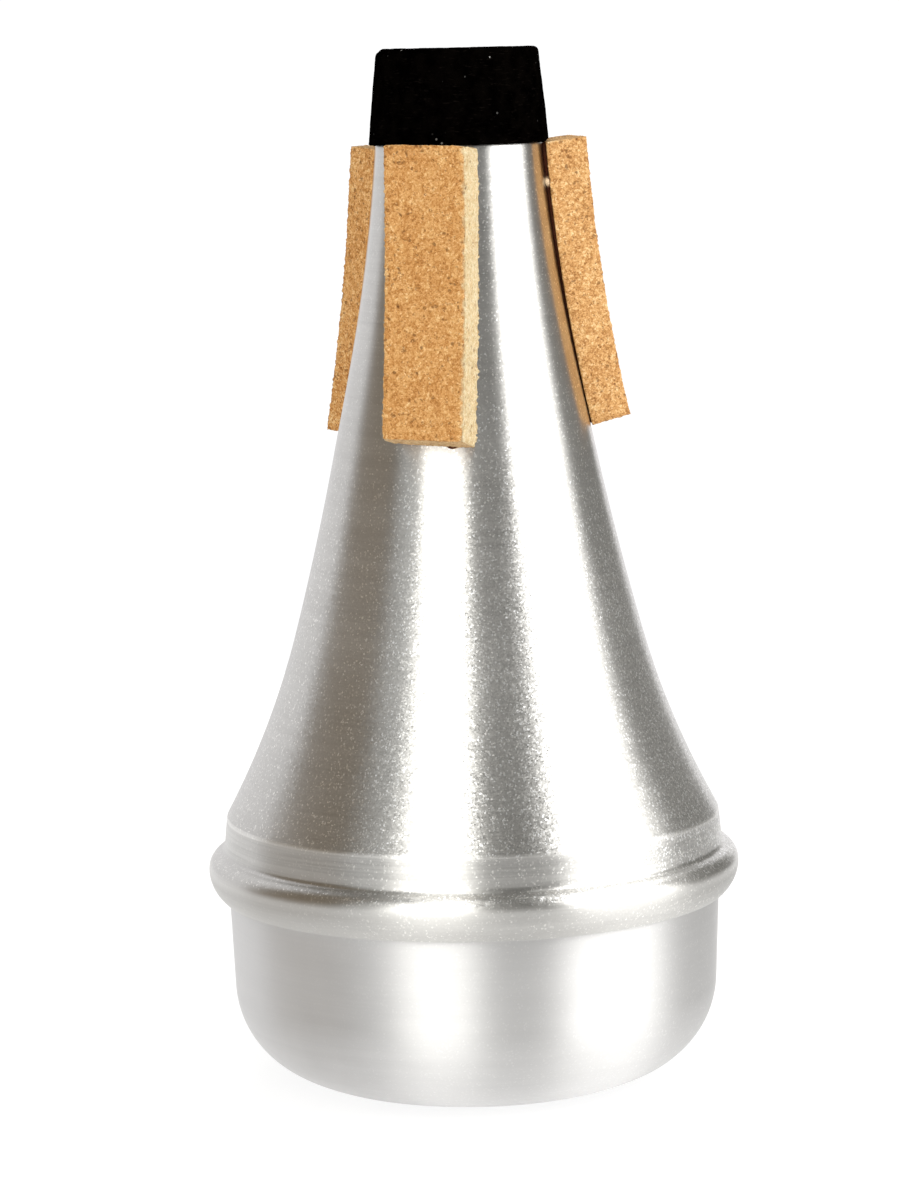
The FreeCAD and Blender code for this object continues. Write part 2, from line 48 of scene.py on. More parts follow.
# ------------------------------------------------------------------ the camera
# The picture is taken as 900 x 1200, with a long lens a little above the bead.
PITCH, ROLL, TURN = math.radians(7.77), math.radians(-1.23), math.radians(18.5)
cp, sp = math.cos(PITCH), math.sin(PITCH)
cr, sr = math.cos(ROLL), math.sin(ROLL)
ahead = Vector((0, cp, -sp))
above = Vector((0, sp, cp))
side = Vector((1, 0, 0))
right = cr * side + sr * above
up = -sr * side + cr * above
spin = Matrix.Rotation(TURN, 4, "Z")
pose = Matrix((right, up, -ahead)).transposed().to_4x4()
pose.translation = Vector((-0.00301, -0.6672, 0.1707))
cam_data = bpy.data.cameras.new("camera")
cam_data.sensor_width = 36.0
cam_data.lens = 122.49
cam_data.clip_start, cam_data.clip_end = 0.01, 60.0
camera = bpy.data.objects.new("camera", cam_data)
camera.matrix_world = spin @ pose
scene.collection.objects.link(camera)
scene.camera = camera

# --------------------------------------------------------- repeatable noises


def lattice(ix, iy, iz, seed):
    """A number in 0..1 for each whole-number cell, the same on every run."""
    h = (ix * 73856093) ^ (iy * 19349663) ^ (iz * 83492791) ^ (seed * 40503 + 977)
    h = h & 0xFFFFFFFF
    h = ((h ^ (h >> 16)) * 0x45D9F3B) & 0xFFFFFFFF
    h = ((h ^ (h >> 16)) * 0x45D9F3B) & 0xFFFFFFFF
    h = h ^ (h >> 16)
    return h.astype(np.float64) / 4294967295.0


def swell(p, size, seed):
    """Smooth noise in -1..1 with features of about `size`."""
    q = p / size
    b = np.floor(q).astype(np.int64)
    f = q - b
    f = f * f * (3 - 2 * f)
    out = np.zeros(len(p))
    for d in itertools.product((0, 1), repeat=3):
        w = np.ones(len(p))
        for k in range(3):
            w = w * (f[:, k] if d[k] else 1 - f[:, k])
        out += w * lattice(b[:, 0] + d[0], b[:, 1] + d[1], b[:, 2] + d[2], seed)
    return out * 2 - 1


def grains(p, size, seed):
    """Cell noise: distance to the nearest grain centre, to the next one, and a number per grain."""
    q = p / size
    b = np.floor(q).astype(np.int64)
    near = np.full(len(p), 9.0)
    second = np.full(len(p), 9.0)
    tone = np.zeros(len(p))
    for d in itertools.product((-1, 0, 1), repeat=3):
        c = b + np.array(d)
        at = [lattice(c[:, 0], c[:, 1], c[:, 2], seed + k) for k in range(4)]
        gap = np.sqrt(sum((c[:, k] + at[k] - q[:, k]) ** 2 for k in range(3)))
        closer = gap < near
        second = np.where(closer, near, np.minimum(second, gap))
        tone = np.where(closer, at[3], tone)
        near = np.where(closer, gap, near)
    return near, second, tone


# ------------------------------------------------------------ mesh builders


def new_piece(name, verts, faces, node, material, attributes=None):
    """A smooth-shaded piece that stands for one CAD node and rides with it."""
    me = bpy.data.meshes.new(name)
    me.from_pydata((np.asarray(verts) * 0.001).tolist(), [], faces)
    me.validate()
    me.update()
    me.polygons.foreach_set("use_smooth", np.ones(len(me.polygons), dtype=bool))
    for key, values in (attributes or {}).items():
        layer = me.attributes.new(key, "FLOAT", "POINT")
        layer.data.foreach_set("value", np.asarray(values, dtype=np.float32))
    me.materials.append(material)
    ob = bpy.data.objects.new(name, me)
    scene.collection.objects.link(ob)
    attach(ob, "root")
    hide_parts(node)
    return ob


class Section:
    """Half section of a spun piece: points (r, z) in millimetres."""

    def __init__(self):
        self.pts, self.soft = [], {}

    def to(self, r, z, step=2.0):
        if self.pts:
            r0, z0 = self.pts[-1]
            n = max(1, int(math.ceil(math.hypot(r - r0, z - z0) / step)))
            for i in range(1, n + 1):
                self.pts.append((r0 + (r - r0) * i / n, z0 + (z - z0) * i / n))
        else:
            self.pts.append((r, z))
        return self

    def arc(self, centre, radius, a0, a1, step=2.0):
        """Angles in degrees from the +r direction."""
        n = max(2, int(math.ceil(abs(math.radians(a1 - a0)) * radius / step)))
        for i in range(n + 1):
            a = math.radians(a0 + (a1 - a0) * i / n)
            p = (centre[0] + radius * math.cos(a), centre[1] + radius * math.sin(a))
            if not self.pts or math.dist(self.pts[-1], p) > 1e-4:
                self.pts.append(p)
        return self

    def ease(self, reach):
        """Rounds the corner at the last point, over `reach` on both sides."""
        self.soft[len(self.pts) - 1] = reach
        return self

    def points(self):
        pts = [np.array(p) for p in self.pts]
        n, out, skip = len(pts), [], set()

        def walk(i, step, reach):
            gone, here = 0.0, pts[i]
            while True:
                j = (i + step) % n
                d = float(np.linalg.norm(pts[j] - here))
                if gone + d >= reach:
                    return here + (pts[j] - here) * (reach - gone) / d
                skip.add(j)
                gone, here, i = gone + d, pts[j], j

        rounded = {}
        for i, reach in self.soft.items():
            a, b = walk(i, -1, reach), walk(i, 1, reach)
            rounded[i] = [
                a * (1 - t) ** 2 + 2 * pts[i] * t * (1 - t) + b * t * t
                for t in np.linspace(0, 1, 7)
            ]
        for i in range(n):
            if i in rounded:
                out += rounded[i]
            elif i not in skip:
                out.append(pts[i])
        return np.array(out)


def spun(pts, around, offset=None, closed=True):
    """Turns a section round Z. offset(points, r, z, angle) moves a point along its normal.

    An open section starts and ends on the axis.
    """
    m = len(pts)
    if closed:
        tangent = np.roll(pts, -1, 0) - np.roll(pts, 1, 0)
    else:
        tangent = np.gradient(pts, axis=0)
    tangent /= np.maximum(np.linalg.norm(tangent, axis=1, keepdims=True), 1e-9)
    normal = np.stack([tangent[:, 1], -tangent[:, 0]], 1)
    area = 0.5 * np.sum(pts[:, 0] * np.roll(pts[:, 1], -1) - np.roll(pts[:, 0], -1) * pts[:, 1])
    if area < 0:  # the section runs clockwise, so outward is on its other side
        normal = -normal
    th = np.arange(around) * 2 * math.pi / around
    r = np.repeat(pts[:, 0], around)
    z = np.repeat(pts[:, 1], around)
    a = np.tile(th, m)
    nr = np.repeat(normal[:, 0], around)
    nz = np.repeat(normal[:, 1], around)
    if offset is not None:
        d = offset(r, z, a, np.repeat(np.arange(m), around))
        r, z = r + nr * d, z + nz * d
    verts = np.stack([r * np.cos(a), r * np.sin(a), z], 1)
    rings = m if closed else m - 1
    i = np.repeat(np.arange(rings), around)
    j = np.tile(np.arange(around), rings)
    i2, j2 = (i + 1) % m, (j + 1) % around
    quads = np.stack([i * around + j, i * around + j2, i2 * around + j2, i2 * around + j], 1)
    if area < 0:
        quads = quads[:, ::-1]
    if closed:
        return verts, quads.tolist()
    # the two ends are single points on the axis
    keep = (i > 0) & (i < m - 2)
    faces = quads[keep].tolist()
    for ring, pole in ((1, 0), (m - 2, m - 1)):
        for k in range(around):
            k2 = (k + 1) % around
            tri = [pole * around, ring * around + k2, ring * around + k]
            if (ring == 1) != (area < 0):
                tri = tri[::-1]
            faces.append(tri)
    used = np.unique(np.concatenate([np.ravel(f) for f in faces]))
    index = np.full(len(verts), -1)
    index[used] = np.arange(len(used))
    faces = [[int(index[v]) for v in f] for f in faces]
    return verts[used], faces


# ------------------------------------------------------------ material tools


class Nodes:
    """Short names for building a node tree."""

    def __init__(self, tree):
        self.tree = tree
        tree.nodes.clear()

    def add(self, kind, **inputs):
        n = self.tree.nodes.new(kind)
        for key, value in inputs.items():
            self.put(n.inputs[key.replace("_", " ")], value)
        return n

    def put(self, socket, value):
        if isinstance(value, bpy.types.NodeSocket):
            self.tree.links.new(value, socket)
        elif isinstance(value, bpy.types.Node):
            self.tree.links.new(value.outputs[0], socket)
        else:
            socket.default_value = value

    def math(self, op, a, b=None, c=None, clamp=False):
        n = self.tree.nodes.new("ShaderNodeMath")
        n.operation, n.use_clamp = op, clamp
        for k, value in enumerate((a, b, c)):
            if value is not None:
                self.put(n.inputs[k], value)
        return n.outputs[0]

    def vec(self, op, a, b=None, scale=None):
        n = self.tree.nodes.new("ShaderNodeVectorMath")
        n.operation = op
        self.put(n.inputs[0], a)
        if b is not None:
            self.put(n.inputs[1], b)
        if scale is not None:
            self.put(n.inputs["Scale"], scale)
        return n.outputs[1] if op in ("LENGTH", "DISTANCE", "DOT_PRODUCT") else n.outputs[0]

    def step(self, x, low, high, a=0.0, b=1.0):
        """Smooth change from a to b while x goes from low to high."""
        n = self.tree.nodes.new("ShaderNodeMapRange")
        n.interpolation_type = "SMOOTHSTEP"
        for k, value in enumerate((x, low, high, a, b)):
            self.put(n.inputs[k], value)
        return n.outputs[0]

    def ramp(self, x, stops):
        n = self.tree.nodes.new("ShaderNodeValToRGB")
        e = n.color_ramp.elements
        while len(e) < len(stops):
            e.new(0.5)
        for k, (at, colour) in enumerate(stops):
            e[k].position, e[k].color = at, (*colour, 1.0)
        self.put(n.inputs[0], x)
        return n.outputs[0]

    def mix(self, fac, a, b, blend="MIX"):
        n = self.tree.nodes.new("ShaderNodeMix")
        n.data_type, n.blend_type = "RGBA", blend
        self.put(n.inputs[0], fac)
        for k, value in ((6, a), (7, b)):
            if isinstance(value, tuple) and len(value) == 3:
                value = (*value, 1.0)
            self.put(n.inputs[k], value)
        return n.outputs[2]

    def noise(self, vector, scale, detail=2.0, rough=0.5):
        n = self.add("ShaderNodeTexNoise", Vector=vector, Scale=scale, Detail=detail, Roughness=rough)
        return n.outputs[0]

    def cells(self, vector, scale, feature="F1"):
        n = self.tree.nodes.new("ShaderNodeTexVoronoi")
        n.feature = feature
        self.put(n.inputs["Vector"], vector)
        self.put(n.inputs["Scale"], scale)
        return n

    def xyz(self, vector):
        n = self.add("ShaderNodeSeparateXYZ", Vector=vector)
        return n.outputs[0], n.outputs[1], n.outputs[2]

    def join(self, x, y, z):
        n = self.tree.nodes.new("ShaderNodeCombineXYZ")
        for k, value in enumerate((x, y, z)):
            self.put(n.inputs[k], value)
        return n.outputs[0]

    def place(self):
        return self.tree.nodes.new("ShaderNodeTexCoord").outputs["Object"]

    def bump(self, height, distance, strength=1.0, normal=None):
        n = self.add("ShaderNodeBump", Height=height, Distance=distance, Strength=strength)
        if normal is not None:
            self.put(n.inputs["Normal"], normal)
        return n.outputs[0]

    def finish(self, **inputs):
        bsdf = self.tree.nodes.new("ShaderNodeBsdfPrincipled")
        for key, value in inputs.items():
            self.put(bsdf.inputs[key.replace("_", " ")], value)
        out = self.tree.nodes.new("ShaderNodeOutputMaterial")
        self.tree.links.new(bsdf.outputs[0], out.inputs[0])
        return bsdf


def new_material(name):
    mat = bpy.data.materials.new(name)
    mat.use_nodes = True
    return mat, Nodes(mat.node_tree)


# ----------------------------------------------------------------- materials


def spun_metal(name, lean, sparkle, rough, tint, lines):
    """Satin aluminium turned on a lathe: round lines, blasted facets whose glitter is partly their own leaning and
    partly painted glints in the colour, a painted highlight along the crease, and soft clouds.

    lean is -1 where height and radius run against each other, as on the cone, and +1
    where they run together, as on the cup, so that the lines follow the lathe.
    """
    mat, t = new_material(name)
    where = t.place()
    x, y, z = t.xyz(where)
    radius = t.math("SQRT", t.math("ADD", t.math("MULTIPLY", x, x), t.math("MULTIPLY", y, y)))
    along = t.math("MULTIPLY_ADD", radius, lean, z)
    fine = t.noise(
        t.join(t.math("MULTIPLY", x, 70.0), t.math("MULTIPLY", y, 70.0), t.math("MULTIPLY", along, 4200.0)),
        1.0,
        3.0,
        0.6,
    )
    wide = t.noise(
        t.join(t.math("MULTIPLY", x, 18.0), t.math("MULTIPLY", y, 18.0), t.math("MULTIPLY", along, 620.0)),
        1.0,
        3.0,
        0.62,
    )
    clouds = t.noise(where, 46.0, 3.0, 0.55)
    # how far round the piece, from -1 to 1 across the side with the front pad
    across = t.math("ADD", t.math("MULTIPLY", x, 0.948), t.math("MULTIPLY", y, 0.317))
    across = t.math("DIVIDE", across, t.math("MAXIMUM", radius, 0.001))
    # the rolling tool has burnished the bead and the band above it; on the band the blast and its painted glints are
    # kept only on the right-hand side, where the light catches them
    rolled = t.math("MULTIPLY", t.step(z, 0.0346, 0.0374), t.step(z, 0.0390, 0.0400, 1.0, 0.0))
    under = t.math("MULTIPLY", t.step(z, 0.0310, 0.0312), t.step(z, 0.0346, 0.0374, 1.0, 0.0))
    banded = t.math("MULTIPLY", t.step(z, 0.0384, 0.0396), t.step(z, 0.0440, 0.0449, 1.0, 0.0))
    banded = t.math("MULTIPLY", banded, t.step(across, 0.50, 0.72, 1.0, 0.15))
    banded = t.math("MAXIMUM", banded, t.step(z, 0.0366, 0.0378, 1.15, 0.0))
    # the blasting is finest towards the neck, and the painted glints follow it
    blast_and_glint = t.step(z, 0.080, 0.120, sparkle, 0.36 * sparkle)
    blast_and_glint = t.math("MULTIPLY", blast_and_glint, t.math("MULTIPLY_ADD", banded, -0.75, 1.0))
    # how strong the painted glints are round the piece, set by where the lights fall: weak on the left, strong from
    # the middle to the right, and on the right stronger low down and weaker towards the neck
    painted_glint_by_side = t.step(across, -0.80, -0.20, 0.30, 1.30)
    near_side = t.math("MULTIPLY", t.step(across, 0.35, 0.75), t.step(z, 0.075, 0.110, 0.50, -0.30))
    painted_glint_by_side = t.math("MULTIPLY", blast_and_glint, t.math("ADD", painted_glint_by_side, near_side))
    # every blasted facet leans its own way: most of them little, a few of them much
    facet = t.vec("SUBTRACT", t.cells(where, 4000.0).outputs["Color"], (0.5, 0.5, 0.5))
    facet = t.vec("MULTIPLY", facet, (2.0, 2.0, 2.0))
    square = t.vec("MULTIPLY", facet, facet)
    sharp = t.vec("MULTIPLY", t.vec("MULTIPLY", square, square), facet)
    lean_by = t.vec(
        "ADD",
        t.vec("SCALE", facet, scale=t.math("MULTIPLY", blast_and_glint, 0.007)),
        t.vec("SCALE", sharp, scale=t.math("MULTIPLY", blast_and_glint, 0.042)),
    )
    geometry = t.tree.nodes.new("ShaderNodeNewGeometry")
    leaning = t.vec("NORMALIZE", t.vec("ADD", geometry.outputs["Normal"], lean_by))
    grooves = t.math("MULTIPLY_ADD", wide, 1.6, fine)
    normal = t.bump(grooves, 0.0000022 * lines, 1.0, leaning)
    shade = t.math("ADD", t.math("MULTIPLY", wide, 0.55 * lines), t.math("MULTIPLY", clouds, 1 - 0.55 * lines))
    colour = t.ramp(
        shade,
        [
            (0.28, tuple(0.90 * c for c in tint)),
            (0.50, tint),
            (0.72, tuple(min(1.0, 1.07 * c) for c in tint)),
        ],
    )
    # painted glints: facets leaning one way are given a brighter colour, standing for the sparkle of the softboxes in
    # them
    painted_glint = t.math("POWER", t.math("MAXIMUM", t.xyz(facet)[2], 0.0), 7.0)
    shine = t.math("MULTIPLY_ADD", painted_glint, 1.95, t.math("MULTIPLY", t.xyz(facet)[1], 0.11))
    shine = t.math("MULTIPLY_ADD", shine, painted_glint_by_side, 1.0)
    shine = t.math("MULTIPLY_ADD", t.math("SUBTRACT", fine, 0.5), 0.20 * lines, shine)
    # dull tool lines on the band above the bead
    dull = t.noise(
        t.join(t.math("MULTIPLY", x, 22.0), t.math("MULTIPLY", y, 22.0), t.math("MULTIPLY", z, 1150.0)), 1.0, 2.0, 0.6
    )
    shoulder = t.math("MULTIPLY", t.step(z, 0.0384, 0.0396), t.step(z, 0.0432, 0.0446, 1.0, 0.0))
    dull = t.math("MULTIPLY", shoulder, t.step(dull, 0.42, 0.62, 0.05, 0.17))
    # painted highlight: a thin brighter line in the colour along the crease at the top of the band, where the crisp
    # edge catches the light
    rim = t.math("MULTIPLY", t.step(z, 0.0440, 0.0443), t.step(z, 0.0447, 0.0449, 1.0, 0.0))
    shine = t.math("MULTIPLY_ADD", rim, 0.22, t.math("SUBTRACT", shine, dull))
    colour = t.vec("SCALE", colour, scale=shine)
    gloss = t.math("MULTIPLY_ADD", t.math("SUBTRACT", fine, 0.5), 0.10, rough)
    gloss = t.math("MULTIPLY_ADD", rolled, -0.05, gloss)
    gloss = t.math("MULTIPLY_ADD", under, 0.13, gloss)
    gloss = t.math("MULTIPLY_ADD", t.step(z, 0.080, 0.125), -0.05, gloss)
    gloss = t.math("MULTIPLY_ADD", t.math("SUBTRACT", clouds, 0.5), 0.10, gloss)
    tangent = t.tree.nodes.new("ShaderNodeTangent")
    tangent.direction_type, tangent.axis = "RADIAL", "Z"
    t.finish(
        Base_Color=colour,
        Metallic=1.0,
        Roughness=gloss,
        Anisotropic=t.math("MULTIPLY_ADD", rolled, -0.18, 0.90),
        Anisotropic_Rotation=0.25,
        Normal=normal,
        Tangent=tangent.outputs[0],
    )
    return mat


def cork(name):
    """Agglomerated cork: pressed granules, brown bark specks, paler where it was cut."""
    mat, t = new_material(name)
    where = t.place()
    wobble = t.add("ShaderNodeTexNoise", Vector=where, Scale=1100.0, Detail=3.0)
    bent = t.vec("ADD", where, t.vec("SCALE", t.vec("SUBTRACT", wobble.outputs["Color"], (0.5, 0.5, 0.5)), scale=0.0007))
    big = t.cells(bent, 950.0)
    small = t.cells(bent, 2400.0)
    crumb = t.cells(where, 4600.0)
    tone_big = t.math("ADD", big.outputs["Color"], 0.0)
    tone_small = t.math("ADD", small.outputs["Color"], 0.0)
    tone_crumb = t.math("ADD", crumb.outputs["Color"], 0.0)
    dust = t.noise(where, 5200.0, 2.0, 0.6)
    drift = t.noise(where, 150.0, 2.0, 0.5)
    tone = t.math("MULTIPLY", tone_big, 0.14)
    tone = t.math("MULTIPLY_ADD", tone_small, 0.25, tone)
    tone = t.math("MULTIPLY_ADD", tone_crumb, 0.29, tone)
    tone = t.math("MULTIPLY_ADD", dust, 0.20, tone)
    tone = t.math("MULTIPLY_ADD", drift, 0.12, tone)
    # the knife opens the granules, so a cut face is more lively than a pressed one
    raw = t.tree.nodes.new("ShaderNodeAttribute")
    raw.attribute_name = "raw"
    lively = t.math("MULTIPLY_ADD", raw.outputs["Fac"], 0.30, 1.30)
    tone = t.math("MULTIPLY_ADD", t.math("SUBTRACT", tone, 0.5), lively, 0.5)
    colour = t.ramp(
        tone,
        [
            (0.16, (0.262, 0.102, 0.026)),
            (0.36, (0.448, 0.201, 0.057)),
            (0.51, (0.568, 0.287, 0.094)),
            (0.66, (0.655, 0.381, 0.150)),
            (0.84, (0.775, 0.545, 0.285)),
        ],
    )
    pale = t.tree.nodes.new("ShaderNodeAttribute")
    pale.attribute_name = "cut"
    cream = t.ramp(tone, [(0.20, (0.485, 0.345, 0.167)), (0.50, (0.61, 0.505, 0.305)), (0.80, (0.69, 0.615, 0.425))])
    colour = t.mix(pale.outputs["Fac"], colour, cream)
    # light flecks, then brown bark, then painted shade in the pits
    fleck = t.cells(t.vec("ADD", bent, (0.0031, 0.0017, 0.0043)), 2100.0)
    fleck = t.math(
        "MULTIPLY",
        t.step(fleck.outputs["Color"], 0.84, 0.88),
        t.step(fleck.outputs["Distance"], 0.22, 0.42, 1.0, 0.0),
    )
    colour = t.mix(t.math("MULTIPLY", fleck, 0.62), colour, (0.85, 0.62, 0.31))
    bark = t.math("MULTIPLY", t.step(t.noise(bent, 1900.0, 2.0, 0.6), 0.61, 0.70), t.step(tone_big, 0.44, 0.58))
    bark = t.math("MULTIPLY", bark, t.math("MULTIPLY_ADD", raw.outputs["Fac"], 0.20, 0.50))
    colour = t.mix(bark, colour, (0.27, 0.105, 0.030))
    chip = t.cells(t.vec("ADD", bent, (0.0113, 0.0071, 0.0029)), 1250.0)
    chip = t.math(
        "MULTIPLY",
        t.step(chip.outputs["Color"], 0.71, 0.75),
        t.step(chip.outputs["Distance"], 0.28, 0.47, 1.0, 0.0),
    )
    chip = t.math("MULTIPLY", chip, t.step(t.noise(bent, 2600.0, 1.0, 0.5), 0.38, 0.52))
    faded = t.math("MULTIPLY_ADD", pale.outputs["Fac"], -0.45, 1.0)
    colour = t.mix(t.math("MULTIPLY", t.math("MULTIPLY", chip, 0.78), faded), colour, (0.175, 0.072, 0.022))
    grit = t.cells(t.vec("ADD", bent, (0.0071, 0.0037, 0.0089)), 2500.0)
    grit = t.math(
        "MULTIPLY",
        t.step(grit.outputs["Color"], 0.74, 0.78),
        t.step(grit.outputs["Distance"], 0.26, 0.42, 1.0, 0.0),
    )
    grit = t.math("MULTIPLY", t.math("MULTIPLY", grit, faded), t.math("MULTIPLY_ADD", raw.outputs["Fac"], 0.22, 0.52))
    colour = t.mix(grit, colour, (0.15, 0.064, 0.022))
    # painted shade: the colour is darkened where the geometry has pits, standing for the shade inside the holes
    pit_shade = t.tree.nodes.new("ShaderNodeAttribute")
    pit_shade.attribute_name = "pit_shade"
    colour = t.mix(pit_shade.outputs["Fac"], colour, (0.125, 0.045, 0.015))
    edges = t.step(t.cells(bent, 2400.0, "DISTANCE_TO_EDGE").outputs["Distance"], 0.0, 0.14)
    colour = t.mix(t.math("MULTIPLY_ADD", edges, -0.16, 0.16), colour, (0.30, 0.12, 0.035))
    height = t.math("MULTIPLY_ADD", edges, 0.5, t.math("MULTIPLY_ADD", tone_crumb, 0.5, dust))
    normal = t.bump(height, 0.00006, 0.8)
    rough = t.step(tone, 0.2, 0.8, 0.93, 0.80)
    t.finish(Base_Color=colour, Roughness=rough, Specular_IOR_Level=0.2, Normal=normal)
    return mat


def foam(name):
    """Black cellular rubber: light sinks into its pores, dust and lint catch on it."""
    mat, t = new_material(name)
    where = t.place()
    pores = t.cells(where, 3000.0)
    skin = t.noise(where, 420.0, 3.0, 0.6)
    black = t.mix(t.step(skin, 0.35, 0.7), (0.0002, 0.0001, 0.0001), (0.0013, 0.0009, 0.0007))
    motes = t.cells(where, 900.0)
    lucky = t.step(motes.outputs["Color"], 0.80, 0.94)
    lucky = t.math("MULTIPLY", lucky, lucky)
    speck = t.math("MULTIPLY", t.step(motes.outputs["Distance"], 0.10, 0.20, 1.0, 0.0), lucky)
    colour = t.mix(speck, black, (0.46, 0.45, 0.43))
    lint = t.noise(t.vec("MULTIPLY", where, (700.0, 700.0, 3800.0)), 1.0, 2.0, 0.7)
    colour = t.mix(t.step(lint, 0.58, 0.74, 0.0, 0.28), colour, (0.013, 0.010, 0.0085))
    normal = t.bump(t.math("ADD", pores.outputs["Distance"], skin), 0.00012, 0.9)
    t.finish(
        Base_Color=colour,
        Roughness=t.step(skin, 0.3, 0.7, 0.90, 1.0),
        Specular_IOR_Level=0.0,
        Normal=normal,
    )
    return mat


def glue(name, dark, light, shine):
    """Dried contact glue: strings and lumps, tan where it spreads thin on the metal and nearly black towards the
    cork, the dark part being partly the glue's own colour and partly painted shade under the pads.
    """
    mat, t = new_material(name)
    where = t.place()
    lumps = t.noise(where, 700.0, 3.0, 0.6)
    strings = t.noise(t.vec("MULTIPLY", where, (1500.0, 1500.0, 380.0)), 1.0, 3.0, 0.6)
    both = t.math("ADD", t.math("MULTIPLY", lumps, 0.6), t.math("MULTIPLY", strings, 0.4))
    glue_lightness = t.tree.nodes.new("ShaderNodeAttribute")
    glue_lightness.attribute_name = "glue_lightness"
    level = t.math("MULTIPLY_ADD", t.math("SUBTRACT", both, 0.5), 0.8, glue_lightness.outputs["Fac"])
    colour = t.ramp(level, [(0.15, dark), (0.50, tuple((a + b) / 2 for a, b in zip(dark, light))), (0.85, light)])
    normal = t.bump(both, 0.0003, 0.7)
    t.finish(
        Base_Color=colour,
        Roughness=t.step(lumps, 0.3, 0.7, shine, shine + 0.3),
        Specular_IOR_Level=0.15,
        Normal=normal,
    )
    return mat


ALUMINIUM = spun_metal("spun_aluminium", -1.0, 1.0, 0.36, (0.60, 0.59, 0.572), 1.0)
CUP = spun_metal("cup_aluminium", 1.0, 0.25, 0.50, (0.70, 0.693, 0.688), 0.35)
CORK = cork("agglomerated_cork")
FOAM = foam("black_foam_rubber")
GLUE = glue("contact_glue", (0.075, 0.022, 0.010), (0.60, 0.44, 0.28), 0.68)
SEALANT = glue("seam_compound", (0.10, 0.095, 0.085), (0.22, 0.21, 0.19), 0.5)
FILM = glue("sleeve_glue", (0.05, 0.035, 0.02), (0.20, 0.14, 0.07), 0.3)

# ----------------------------------------------------------------- cone shell
WALL = 0.8
BEAD = (40.88, 35.9)
A1 = math.asin((176.865 - 115.735) / 298.235)  # lean of the cone where the flare ends


def cone_run(inner, fine):
    """From the top of the neck down to the hem, outer or inner face."""
    w = WALL * inner
    s = Section()
    s.to(12.28 - w, 168.5)
    if not inner:
        s.ease(0.2)
    s.to(13.6 - w, 154.8, 1.2)
    c = (311.018 - w, 176.865)
    a0 = math.asin((c[1] - 154.8) / 298.235)
    s.arc(c, 298.235, 180 + math.degrees(a0), 180 + math.degrees(A1), fine)
    r, z = s.pts[-1]
    s.to(r + (z - 103.263) * math.tan(A1), 103.263, fine)
    r, z = s.pts[-1]
    c = (r + 498.3 * math.cos(A1), z + 498.3 * math.sin(A1))
    a3 = math.asin((c[1] - 74.8) / 498.3)
    s.arc(c, 498.3, 180 + math.degrees(A1), 180 + math.degrees(a3), fine)
    r, z = s.pts[-1]
    c = (r + 138.26 * math.cos(a3), z + 138.26 * math.sin(a3))
    a4 = math.asin((c[1] - 44.59) / 138.26)
    s.arc(c, 138.26, 180 + math.degrees(a3), 180 + math.degrees(a4), fine)
    r4, z4 = s.pts[-1]
    s.ease(0.34)
    band, crest, root = math.radians(5.88), 3.05 - w, 1.1 + w
    zc = BEAD[1] + 3.8
    for _ in range(60):
        rc = r4 + (z4 - zc) * math.tan(band) + root / math.cos(band)
        zc = BEAD[1] + math.sqrt((crest + root) ** 2 - (rc - BEAD[0]) ** 2)
    turn = math.degrees(math.atan2(zc - BEAD[1], rc - BEAD[0]))
    s.to(rc - root * math.cos(band), zc - root * math.sin(band), fine)
    s.arc((rc, zc), root, 180 + 5.88, 180 + turn, fine * 0.35)
    s.arc(BEAD, crest, turn, 0, fine * 0.35)
    rad = 5.735 if inner else 6.0
    low = -math.degrees(math.asin((35.9 - 31.2) / rad))
    s.arc((BEAD[0] + crest - rad, 35.9), rad, 0, low, fine * 0.35)
    s.ease(0.22)
    return s


outer = cone_run(0, 0.55)
inner = cone_run(1, 1.6)
del inner.soft[max(inner.soft)]
base = len(outer.pts)
loop = Section()
loop.pts = outer.pts + inner.pts[::-1]
loop.soft = dict(outer.soft)
cone_pts = loop.points()


def spin_marks(r, z, a, seed):
    """Shallow rings and a slow wander that a lathe and a hand leave on sheet metal, in mm."""
    along = np.where(z > 31, z - r, z + r)
    ring = np.stack([along / 1.0, np.cos(a) * 1.2, np.sin(a) * 1.2], 1)
    d = 0.0035 * swell(ring, 0.9, seed) + 0.006 * swell(ring + 7.7, 2.6, seed + 1)
    p = np.stack([r * np.cos(a), r * np.sin(a), z], 1)
    return d + 0.020 * swell(p, 17.0, seed + 2) + 0.010 * swell(p, 7.0, seed + 3)


def cone_offset(r, z, a, ring):
    wave = spin_marks(r, z, a, 11)
    # a few coarser tool lines on the shoulder band and on the bead
    lathe = np.stack([z / 0.55, 0.15 * np.cos(a), 0.15 * np.sin(a)], 1)
    wave = wave + 0.010 * swell(lathe, 1.0, 31) * np.clip((z - 35.0) / 2.0, 0, 1) * np.clip((45.2 - z) / 0.8, 0, 1)
    # the neck and the hem are held by what sits on them
    hold = np.clip((154.0 - z) / 3.0, 0, 1) * np.clip((z - 31.0) / 1.5, 0, 1)
    # the hand-finished bead wanders a little along its root
    p = np.stack([r * np.cos(a), r * np.sin(a), z], 1)
    bead = np.exp(-(((z - 39.2) / 1.6) ** 2)) * 0.05 * swell(p, 6.0, 23)
    inside = ring >= outer_count
    return np.where(inside, 0.0, (wave + bead) * hold - 0.004)


outer_only = Section()
outer_only.pts, outer_only.soft = outer.pts, {k: v for k, v in outer.soft.items() if 0 < k < base - 1}
outer_count = len(outer_only.points()) + 8
verts, faces = spun(cone_pts, 320, cone_offset)
new_piece("shell_of_cone", verts, faces, "cone_shell", ALUMINIUM)

